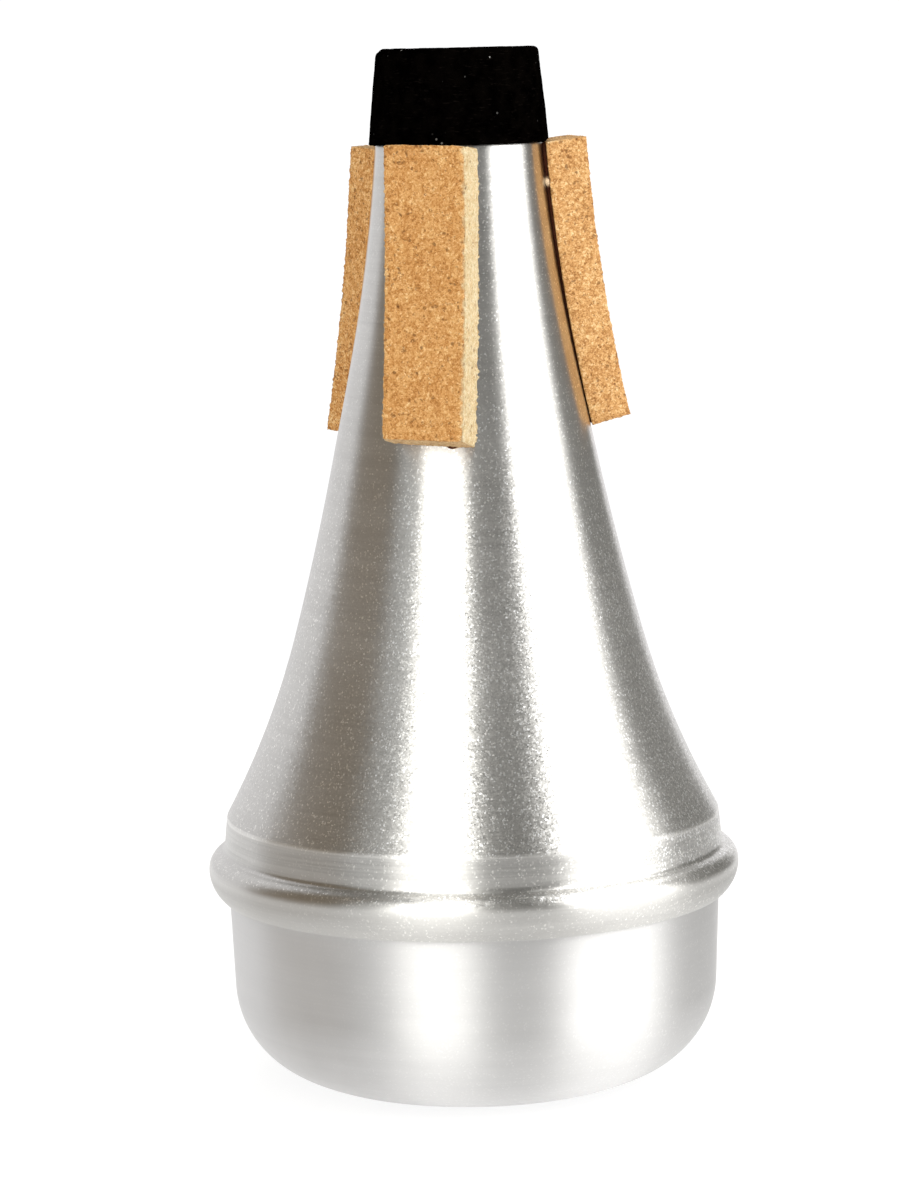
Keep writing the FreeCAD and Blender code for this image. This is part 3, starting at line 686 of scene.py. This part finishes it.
# ------------------------------------------------------------------- base cup
DRAFT = math.radians(2.3)
WALL_N = (math.cos(DRAFT), -math.sin(DRAFT))
RUN_K = WALL_N[0] * 40.65 + WALL_N[1] * 31.2
phi = math.radians(61.5)
for _ in range(200):
    car = 20.72 + (23.05 - 15.93) * math.cos(phi)
    caz = 23.05 - (23.05 - 15.93) * math.sin(phi)
    slope = -(23.05 - 15.93) * (math.sin(phi) * WALL_N[0] + math.cos(phi) * WALL_N[1])
    phi -= (WALL_N[0] * car + WALL_N[1] * caz + 15.93 - RUN_K) / slope
car = 20.72 + (23.05 - 15.93) * math.cos(phi)
caz = 23.05 - (23.05 - 15.93) * math.sin(phi)
FLANGE = (43.93 - WALL - 5.735, 35.9)


def cup_run(w, fine):
    """From the axis out along the sole, up the wall and round the curled rim."""
    a, b, fr = 15.93 - w, 23.05 - w, 5.635 - w
    s = Section().to(0.0, w)
    s.to(20.72, w, fine * 2)
    s.arc((20.72, 23.05), b, -90, -math.degrees(phi), fine)
    s.arc((car, caz), a, -math.degrees(phi), -2.3, fine)
    zt = 31.4
    for _ in range(80):
        wr = (RUN_K - w - WALL_N[1] * zt) / WALL_N[0]
        zt = FLANGE[1] - math.sqrt(fr**2 - (wr - FLANGE[0]) ** 2)
    s.to((RUN_K - w - WALL_N[1] * zt) / WALL_N[0], zt, fine)
    a0 = math.degrees(math.atan2(zt - FLANGE[1], s.pts[-1][0] - FLANGE[0]))
    a1 = math.degrees(math.asin((36.3 - FLANGE[1]) / fr))
    s.arc(FLANGE, fr, a0, a1, fine * 0.6)
    return s


cup_out, cup_in = cup_run(0.0, 0.6), cup_run(WALL, 1.6)
whole = Section()
whole.pts = cup_out.pts + cup_in.pts[::-1]
cup_pts = whole.points()
cup_count = len(cup_out.pts)


def cup_offset(r, z, a, ring):
    wave = spin_marks(r, z, a, 51)
    hold = np.clip((30.6 - z) / 1.5, 0, 1) * np.clip((z - 0.02) / 1.2, 0, 1)
    return np.where(ring < cup_count, wave * hold, 0.0)


verts, faces = spun(cup_pts, 320, cup_offset, closed=False)
new_piece("shell_of_cup", verts, faces, "base_cup", CUP)

# ---------------------------------------------------------------- neck sleeve
s = Section().to(14.726, 154.8).ease(0.22)
s.to(13.194, 170.0, 0.26).ease(0.95)
s.to(11.3, 170.0, 0.26).ease(0.35)
s.to(11.3, 168.5, 0.3)
s.to(12.40, 168.5, 0.5)
s.to(13.72, 154.8, 1.2)
s.to(14.4, 154.8, 0.3)
sleeve_pts = s.points()
LEFT = math.radians(-71.5 - 90)


def sleeve_offset(r, z, a, ring):
    p = np.stack([r * np.cos(a), r * np.sin(a), z], 1)
    near, second, tone = grains(p, 0.55, 71)
    skin = 0.030 * (tone - 0.5) - 0.045 * np.exp(-((second - near) / 0.10) ** 2)
    skin = skin + 0.055 * swell(p, 3.4, 75) + 0.03 * swell(p, 1.2, 77)
    # the cut top edge is worn rounder on one side and stays crisper on the other
    worn = 0.5 + 0.5 * np.cos(a - LEFT)
    edge = np.exp(-(((170.0 - z) / 0.8) ** 2)) * np.clip((r - 12.0) / 1.1, 0, 1)
    skin = skin - edge * (0.02 + 0.42 * worn**3)
    rim = np.exp(-(((z - 154.8) / 0.5) ** 2)) * np.clip((r - 13.9) / 0.6, 0, 1)
    skin = skin + rim * 0.07 * swell(p, 1.7, 79)
    free = (r > 13.9) | (z > 168.7) | (r > 12.9 + (170 - z) * 0.09)
    return np.where(free, skin - 0.05, 0.0)


verts, faces = spun(sleeve_pts, 340, sleeve_offset)
# the soft rim sags a little, except where the right cork pad holds it up
radial = np.hypot(verts[:, 0], verts[:, 1])
to_pad = np.arctan2(verts[:, 1], verts[:, 0]) - math.radians(35)
held = np.clip((np.cos(to_pad) - 0.80) / 0.08, 0, 1)
low = np.clip((156.6 - verts[:, 2]) / 1.8, 0, 1) * np.clip((radial - 13.75) / 0.25, 0, 1)
verts[:, 2] -= 0.36 * low * (1 - held)
verts[:, 2] = np.minimum(verts[:, 2], 170.02)
new_piece("sleeve_on_neck", verts, faces, "neck_sleeve", FOAM)

# ------------------------------------------------------------------ cork pads
FLARE = (311.018, 176.865)
BACK = 298.235 - 0.15
THICK, WIDE = 6.2, 13.6


def end_angle(z, w):
    """Angle about the flare's centre of an end at height z, w of the way out."""
    return math.asin((FLARE[1] - z) / (BACK - THICK * w))


def pad_matrix(angle, shift, twist):
    m = Matrix.Rotation(math.radians(angle), 4, "Z")
    m = m @ Matrix.Translation((0, shift, 130.85))
    m = m @ Matrix.Rotation(math.radians(twist), 4, "X") @ Matrix.Translation((0, 0, -130.85))
    return np.array(m)


def carry(m, p):
    return p @ m[:3, :3].T + m[:3, 3]


def block_grid(nu, nv, nw):
    """The outside of a block of cells: whole-number points and outward quads."""
    idx = -np.ones((nu + 1, nv + 1, nw + 1), dtype=np.int64)
    g = np.stack(np.meshgrid(range(nu + 1), range(nv + 1), range(nw + 1), indexing="ij"), -1)
    edge = (
        (g[..., 0] % nu == 0) | (g[..., 1] % nv == 0) | (g[..., 2] % nw == 0)
    )
    pts = g[edge]
    idx[edge] = np.arange(len(pts))
    faces = []
    for axis, n in enumerate((nu, nv, nw)):
        b, c = (axis + 1) % 3, (axis + 2) % 3
        for at, flip in ((0, True), (n, False)):
            lay = np.take(idx, at, axis=axis)
            if b > c:  # keep the two remaining axes in turning order
                lay = lay.T
            q = np.stack([lay[:-1, :-1], lay[1:, :-1], lay[1:, 1:], lay[:-1, 1:]], -1).reshape(-1, 4)
            faces.append(q[:, ::-1] if flip else q)
    return pts, np.concatenate(faces).tolist()


def curl(pad, u, v):
    """How far the back of a pad is pressed down towards the round cone near its long edges."""
    at_v0, at_v1 = pad["curl"]
    side = np.abs(v - 0.5) * 2
    reach = np.where(v < 0.5, at_v0, at_v1) * (1.0 - 0.28 * np.clip(u, 0, 1))
    return reach * np.clip(side, 0, 1.2) ** 3


def cork_pad(name, node, pad):
    angle, shift, twist, seed = pad["seat"]
    pale, chips = pad["pale"], pad["chips"]
    nu, nv, nw = 216, 62, 28
    g, faces = block_grid(nu, nv, nw)
    u, v, w = g[:, 0] / nu, g[:, 1] / nv, g[:, 2] / nw
    top, top_edge, low, low_edge = pad["ends"]
    first = end_angle(top, 0) * (1 - w) + end_angle(top_edge, 1) * w
    last = end_angle(low, 0) * (1 - w) + end_angle(low_edge, 1) * w
    a = first + (last - first) * u + pad["skew"] * (v - 0.5) / BACK
    LONG = BACK * (end_angle(low, 0) - end_angle(top, 0))
    rad = BACK - THICK * w + curl(pad, u, v) * (1 - w)
    p = np.stack([FLARE[0] - rad * np.cos(a), (v - 0.5) * WIDE, FLARE[1] - rad * np.sin(a)], 1)
    # outward directions, averaged along the edges
    nu_ = np.stack([np.sin(a), 0 * a, -np.cos(a)], 1) * ((u == 1) * 1.0 - (u == 0) * 1.0)[:, None]
    nv_ = np.stack([0 * a, 0 * a + 1, 0 * a], 1) * ((v == 1) * 1.0 - (v == 0) * 1.0)[:, None]
    nw_ = np.stack([np.cos(a), 0 * a, np.sin(a)], 1) * ((w == 1) * 1.0 - (w == 0) * 1.0)[:, None]
    n = nu_ + nv_ + nw_
    n /= np.linalg.norm(n, axis=1, keepdims=True)
    # distance to the block's nearest edge: the second smallest distance to its six faces
    six = np.stack([u * LONG, (1 - u) * LONG, v * WIDE, (1 - v) * WIDE, w * THICK, (1 - w) * THICK], 1)
    six.sort(axis=1)
    edge, corner = six[:, 1], six[:, 2]
    flat = np.stack([u * LONG, v * WIDE, w * THICK], 1)
    near, second, tone = grains(flat + 3.0 * seed, 1.15, seed)
    fine_near, fine_second, fine_tone = grains(flat + 5.0 * seed, 0.52, seed + 7)
    d = 0.050 * (tone - 0.55) + 0.045 * (fine_tone - 0.5)
    d -= 0.045 * np.exp(-(((second - near) / 0.12) ** 2))
    d += 0.028 * swell(flat, 2.6, seed + 12) + 0.04 * swell(flat, 9.0, seed + 13)
    # pits where a granule or a bit of bark has come out, no two alike
    bent = flat + 0.42 * np.stack([swell(flat, 0.9, seed + 40 + k) for k in range(3)], 1)
    pn, ps, pt = grains(bent * (0.8, 1.0, 1.0) + 9.0 * seed, 1.35, seed + 20)
    big = 0.10 + 0.16 * np.clip((pt - 0.74) / 0.26, 0, 1)
    hole = np.clip((big + 0.10 * swell(flat, 0.45, seed + 24) - pn) / 0.10, 0, 1) * (pt > 0.74)
    d -= 0.22 * hole
    # the knife leaves crumbly edges
    worn = pad["worn"][0] + (pad["worn"][1] - pad["worn"][0]) * (v > 0.96)
    worn = np.where(u * LONG < 1.2, np.minimum(worn, pad["blunt"] * 5), worn)
    ragged = np.exp(-((edge / 0.42) ** 2)) * worn
    d -= ragged * (0.07 + 0.22 * np.clip(fine_tone - 0.45, 0, 1) + 0.18 * np.clip(swell(flat, 1.1, seed + 30), 0, 1))
    d += ragged * 0.19 * (fine_tone > 0.78)
    tiny = grains(flat + 4.0 * seed, 0.36, seed + 50)[2]
    d += np.exp(-((edge / 0.30) ** 2)) * worn * (0.16 * (tiny > 0.80) - 0.10 * (tiny < 0.22))
    d -= 0.035 * np.exp(-((edge / 0.42) ** 2)) + pad["blunt"] * np.exp(-((corner / 0.7) ** 2))
    for cu, cv, cw, size, depth in chips:
        gap = np.sqrt((flat[:, 0] - cu * LONG) ** 2 + (flat[:, 1] - cv * WIDE) ** 2 + (flat[:, 2] - cw * THICK) ** 2)
        d -= depth * np.clip(1.2 - gap / size, 0, 1) * (0.8 + 0.4 * fine_tone)
    # the back stays smooth against the glue
    back = (w == 0) & (edge > 0.5)
    d = np.where(back, -0.01, d)
    p = carry(pad_matrix(angle, shift, twist), p + n * d[:, None])
    on_side = ((v == 0) | (v == 1)) * 1.0
    on_end = ((u == 0) | (u == 1)) * 1.0
    cut = np.clip(pale[0] * (v == 0) + pale[1] * (v == 1) + pale[2] * on_end, 0, 1)
    cut = np.where(on_side + on_end > 0, cut, 0.0)
    # the knife's bevel runs a little way onto the outer face
    inset = np.minimum((1 - v) * WIDE + 9 * (pale[1] < 0.5), v * WIDE + 9 * (pale[0] < 0.5))
    bevel = np.clip(1.35 - (inset + 0.40 * swell(flat, 0.9, seed + 33) + 0.25 * (fine_tone - 0.5)) / 0.42, 0, 1)
    cut = np.where((w == 1) & (on_side == 0), bevel * 0.75, cut)
    cut = cut * (0.82 + 0.35 * fine_tone)
    raw = np.where(on_side + on_end > 0, pad["raw"], 0.15 * pad["raw"])
    # the first attribute marks the pits, whose colour is darkened as painted shade
    return new_piece(
        name, p, faces, node, CORK,
        {"pit_shade": np.clip(hole * 0.85, 0, 1), "cut": np.clip(cut, 0, 1), "raw": raw},
    )


# seat: angle, shift, twist and seed; ends: heights of the top and the foot, at the back and
# at the outer face; skew: how far the far corner is cut lower; pale: the two sides, the ends;
# blunt: how far the block's corners are rubbed off, in mm
PADS = {
    "front": {
        "seat": (-90.0, 1.3, 1.4, 101),
        "ends": (154.25, 154.8, 107.2, 108.64),
        "skew": 0.72,
        "curl": (0.2, 0.95),
        "pale": (0.35, 0.86, 0.45),
        "raw": 0.35,
        "worn": (0.55, 1.25),
        "blunt": 0.16,
        "chips": [(1.0, 0.80, 0.75, 0.55, 0.5), (1.0, 0.10, 0.05, 0.9, 0.6)],
    },
    "right": {
        "seat": (30.0, 1.4, 1.6, 202),
        "ends": (154.55, 155.3, 108.2, 109.65),
        "skew": 0.40,
        "curl": (0.70, 0.0),
        "pale": (0.10, 0.25, 0.20),
        "raw": 1.0,
        "worn": (0.45, 0.45),
        "blunt": 0.03,
        "chips": [(0.175, 0.0, 0.0, 0.45, 0.5)],
    },
    "left": {
        "seat": (150.0, -0.5, 0.3, 303),
        "ends": (153.75, 154.2, 106.45, 106.66),
        "skew": 0.0,
        "curl": (0.3, 0.3),
        "pale": (0.30, 0.0, 0.30),
        "raw": 0.85,
        "worn": (0.45, 0.45),
        "blunt": 0.12,
        "chips": [(0.05, 1.0, 0.1, 0.6, 0.4)],
    },
}
for key, pad in PADS.items():
    cork_pad("cork_" + key, "cork_pad_" + key, pad)

# ------------------------------------------------------------ glue under them


def cone_radius(z):
    """Outer radius of the cone in mm at a height."""
    z = np.asarray(z, dtype=float)
    flare = 311.018 - np.sqrt(298.235**2 - (176.865 - z) ** 2)
    r1 = 311.018 - 298.235 * math.cos(A1)
    straight = r1 + (115.735 - z) * math.tan(A1)
    neck = 13.6 - (z - 154.8) * (13.6 - 12.28) / 13.7
    rs = r1 + (115.735 - 103.263) * math.tan(A1)
    c = (rs + 498.3 * math.cos(A1), 103.263 + 498.3 * math.sin(A1))
    skirt = c[0] - np.sqrt(498.3**2 - (c[1] - z) ** 2)
    out = np.where(z > 115.735, flare, np.where(z > 103.263, straight, skirt))
    return np.where(z > 154.8, neck, out)


def glue_strip(name, node, pad, seed, widths, blobs, shaded_until, drips=()):
    """Glue between a pad and the cone. widths: half width towards each side, in mm."""
    angle, shift, twist, _ = pad["seat"]
    top, top_edge, low, low_edge = pad["ends"]
    nu, nv, nw = 150, 44, 6
    g, faces = block_grid(nu, nv, nw)
    u, v, w = g[:, 0] / nu, g[:, 1] / nv, g[:, 2] / nw
    m = pad_matrix(angle, shift, twist)
    seam = np.stack([u * 47.0, np.where(v > 0.5, 40.0, 0.0), 0 * u], 1)
    wave = 0.5 * swell(seam, 3.1, seed) + 0.35 * swell(seam, 1.2, seed + 1) + 0.15 * swell(seam, 0.5, seed + 2)
    half = np.where(v > 0.5, widths[1], widths[0]) + 0.28 * wave
    light = 0 * u
    for bu, sign, size, out, pale in blobs:
        bulge = np.exp(-(((u - bu) * 47.0 / size) ** 2)) * ((v - 0.5) * sign > 0)
        half = half + out * bulge
        light = np.maximum(light, pale * bulge)
    half = half + 0.12 * (w * (1 - w)) * 4 * (np.abs(v - 0.5) > 0.49)
    a0, a1 = end_angle(top - 0.2, 0), end_angle(low + 0.5, 0)
    a = a0 + (a1 - a0) * u + 0.0006 * swell(np.stack([v * 13, u * 2, w], 1), 1.0, seed + 3)
    a = a + pad["skew"] * (v - 0.5) * 0.8 / BACK
    for at, wide_, reach in drips:
        a = a + reach / BACK * np.exp(-(((v - at) / wide_) ** 2)) * np.clip((u - 0.97) / 0.03, 0, 1)
    y = (v - 0.5) * 2 * half
    rad = BACK + 0.012 + curl(pad, u, 0.5 + y / WIDE)
    back = carry(m, np.stack([FLARE[0] - rad * np.cos(a), y, FLARE[1] - rad * np.sin(a)], 1))
    inward = -carry(m, np.stack([np.cos(a), 0 * a, np.sin(a)], 1)) + m[:3, 3]
    gone = np.zeros(len(back))
    for _ in range(40):
        q = back + inward * gone[:, None]
        gone = gone + (np.hypot(q[:, 0], q[:, 1]) - (cone_radius(q[:, 2]) + 0.02)) * 0.95
    gone = np.maximum(gone, 0.02)
    p = back + inward * (gone * (1 - w))[:, None]
    # darker towards the cork, along the start of the strip that the caller gives, and at one spot near the top:
    # partly the glue's own colour and partly painted shade in the gap under the pad; tan where it thins out on the
    # metal
    dark = np.clip((shaded_until - u) / 0.03, 0, 1) + np.clip(1 - np.abs(u - 0.175) / 0.02, 0, 1)
    glue_lightness = np.clip((0.62 - w) / 0.14, 0, 1) * (1 - np.clip(dark, 0, 1))
    glue_lightness = np.clip(glue_lightness * (0.75 + 0.5 * swell(seam, 1.6, seed + 5)) + 1.3 * light, 0, 1)
    return new_piece(name, p, faces, node, GLUE, {"glue_lightness": glue_lightness})


glue_strip(
    "glue_front", "cork_glue_front", PADS["front"], 401, (5.5, 5.9),
    [(0.12, -1, 2.0, 0.2, 0.3)], 0.0, [(0.74, 0.10, 0.85)],
)
glue_strip(
    "glue_right", "cork_glue_right", PADS["right"], 402, (5.5, 5.6),
    [(0.135, -1, 0.75, 1.35, 1.0)], 1.1,
)
glue_strip("glue_left", "cork_glue_left", PADS["left"], 403, (5.6, 5.9), [(0.3, 1, 3.0, 0.2, 0.2)], 0.0)

# --------------------------------------------- CAD nodes kept, out of sight
for node, material in (("seam_sealant", SEALANT), ("sleeve_adhesive", FILM)):
    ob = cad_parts[node]
    for k in range(max(1, len(ob.material_slots))):
        if ob.material_slots:
            ob.material_slots[k].material = material
        else:
            ob.data.materials.append(material)

# ----------------------------------------------------------- floor and light
n = 96
ring = [0.0, 0.06, 0.12, 0.2, 0.3, 0.45]
fv = [(0.0, 0.0, -0.00004)]
ff = []
for k in range(1, len(ring)):
    for j in range(n):
        t = 2 * math.pi * j / n
        fv.append((ring[k] * math.cos(t), ring[k] * math.sin(t), -0.00004))
for j in range(n):
    ff.append((0, 1 + j, 1 + (j + 1) % n))
for k in range(1, len(ring) - 1):
    for j in range(n):
        p0, p1 = 1 + (k - 1) * n, 1 + k * n
        ff.append((p0 + j, p1 + j, p1 + (j + 1) % n, p0 + (j + 1) % n))
floor_mesh = bpy.data.meshes.new("floor")
floor_mesh.from_pydata(fv, [], ff)
floor_mat, t = new_material("pale_paper")
paper = t.noise(t.place(), 800.0, 3.0, 0.6)
white = t.mix(paper, (0.26, 0.26, 0.26), (0.29, 0.29, 0.29))
t.finish(
    Base_Color=white,
    Roughness=0.9,
    Specular_IOR_Level=0.1,
    Emission_Color=(1.0, 1.0, 1.0, 1.0),
    Emission_Strength=0.79,
)
floor_mesh.materials.append(floor_mat)
floor = bpy.data.objects.new("floor", floor_mesh)
scene.collection.objects.link(floor)

world = bpy.data.worlds.new("studio")
scene.world = world
world.use_nodes = True
t = Nodes(world.node_tree)
toward = t.tree.nodes.new("ShaderNodeTexCoord").outputs["Generated"]
turned = t.tree.nodes.new("ShaderNodeVectorRotate")
turned.rotation_type = "Z_AXIS"
t.put(turned.inputs["Vector"], toward)
t.put(turned.inputs["Angle"], math.radians(71.5))
x, y, z = t.xyz(turned.outputs[0])
bearing = t.math("MULTIPLY", t.math("ARCTAN2", y, x), 180 / math.pi)  # 0 is the front of the studio
rise = t.math("MULTIPLY", t.math("ARCSINE", z), 180 / math.pi)


def panel(a0, a1, soft0, soft1, top, top_soft, strength, colour, tilt=0.0):
    """A soft-edged light or card standing round the table, between two bearings.

    tilt moves the first edge by that many degrees towards the top.
    """
    near = t.math("SUBTRACT", bearing, t.step(rise, 42.0, 74.0, 0.0, tilt)) if tilt else bearing
    lit = t.math(
        "MULTIPLY",
        t.step(near, a0 - soft0, a0 + soft0),
        t.step(bearing, a1 - soft1, a1 + soft1, 1.0, 0.0),
    )
    lit = t.math("MULTIPLY", lit, t.step(rise, top - top_soft, top + top_soft, 1.0, 0.0))
    return t.vec("SCALE", tuple(strength * c for c in colour), scale=lit)


def overhead(y0, y1, soft, strength):
    """The part of a softbox that leans over the table and ends behind it."""
    lit = t.math("MULTIPLY", t.step(y, y0 - soft, y0 + soft), t.step(y, y1 - soft, y1 + soft, 1.0, 0.0))
    lit = t.math("MULTIPLY", lit, t.step(x, -0.70, -0.50))
    lit = t.math("MULTIPLY", lit, t.step(x, 0.0, 0.10, 1.0, 0.0))
    lit = t.math("MULTIPLY", lit, t.step(z, 0.60, 0.70))
    return t.vec("SCALE", (strength, strength, 0.98 * strength), scale=lit)


panels = [
    overhead(-0.21, -0.05, 0.035, 2.5),
    overhead(0.36, 0.66, 0.07, 2.2),
    panel(-37.5, -1.0, 5.0, 5.0, 87.0, 6.0, 3.4, (1.0, 1.0, 0.97)),  # left softbox
    panel(43.0, 96.5, 7.0, 11.0, 72.0, 6.0, 3.5, (1.0, 1.0, 0.985), 26.0),  # right softbox
    panel(-60.0, -40.0, 6.0, 4.0, 60.0, 10.0, 0.50, (0.98, 1.0, 1.0)),  # its dim side
    panel(-112.0, -64.0, 9.0, 8.0, 60.0, 12.0, 0.14, (1.0, 0.68, 0.37)),  # warm wall
    panel(0.0, 30.0, 12.0, 12.0, 80.0, 10.0, 0.16, (1.0, 0.985, 0.96)),  # room behind the camera
    panel(96.0, 158.0, 10.0, 8.0, 80.0, 10.0, 0.17, (1.0, 0.985, 0.95)),  # room on the right
    panel(-200.0, -114.0, 5.0, 9.0, 55.0, 15.0, 0.82, (0.985, 0.98, 1.0)),  # backdrop, left
    panel(154.0, 200.0, 7.0, 5.0, 55.0, 15.0, 0.95, (0.99, 0.985, 1.0)),  # backdrop, right
]
light = t.vec("ADD", panels[0], panels[1])
for extra in panels[2:]:
    light = t.vec("ADD", light, extra)
light = t.vec("ADD", light, (0.070, 0.067, 0.056))
shown = t.add("ShaderNodeBackground", Color=(1.0, 1.0, 1.0, 1.0), Strength=1.05)
studio = t.add("ShaderNodeBackground", Color=light, Strength=1.0)
path = t.tree.nodes.new("ShaderNodeLightPath")
both = t.tree.nodes.new("ShaderNodeMixShader")
t.put(both.inputs[0], path.outputs["Is Camera Ray"])
t.put(both.inputs[1], studio.outputs[0])
t.put(both.inputs[2], shown.outputs[0])
out = t.tree.nodes.new("ShaderNodeOutputWorld")
t.put(out.inputs[0], both.outputs[0])

scene.view_settings.view_transform = "Standard"
scene.view_settings.look = "None"
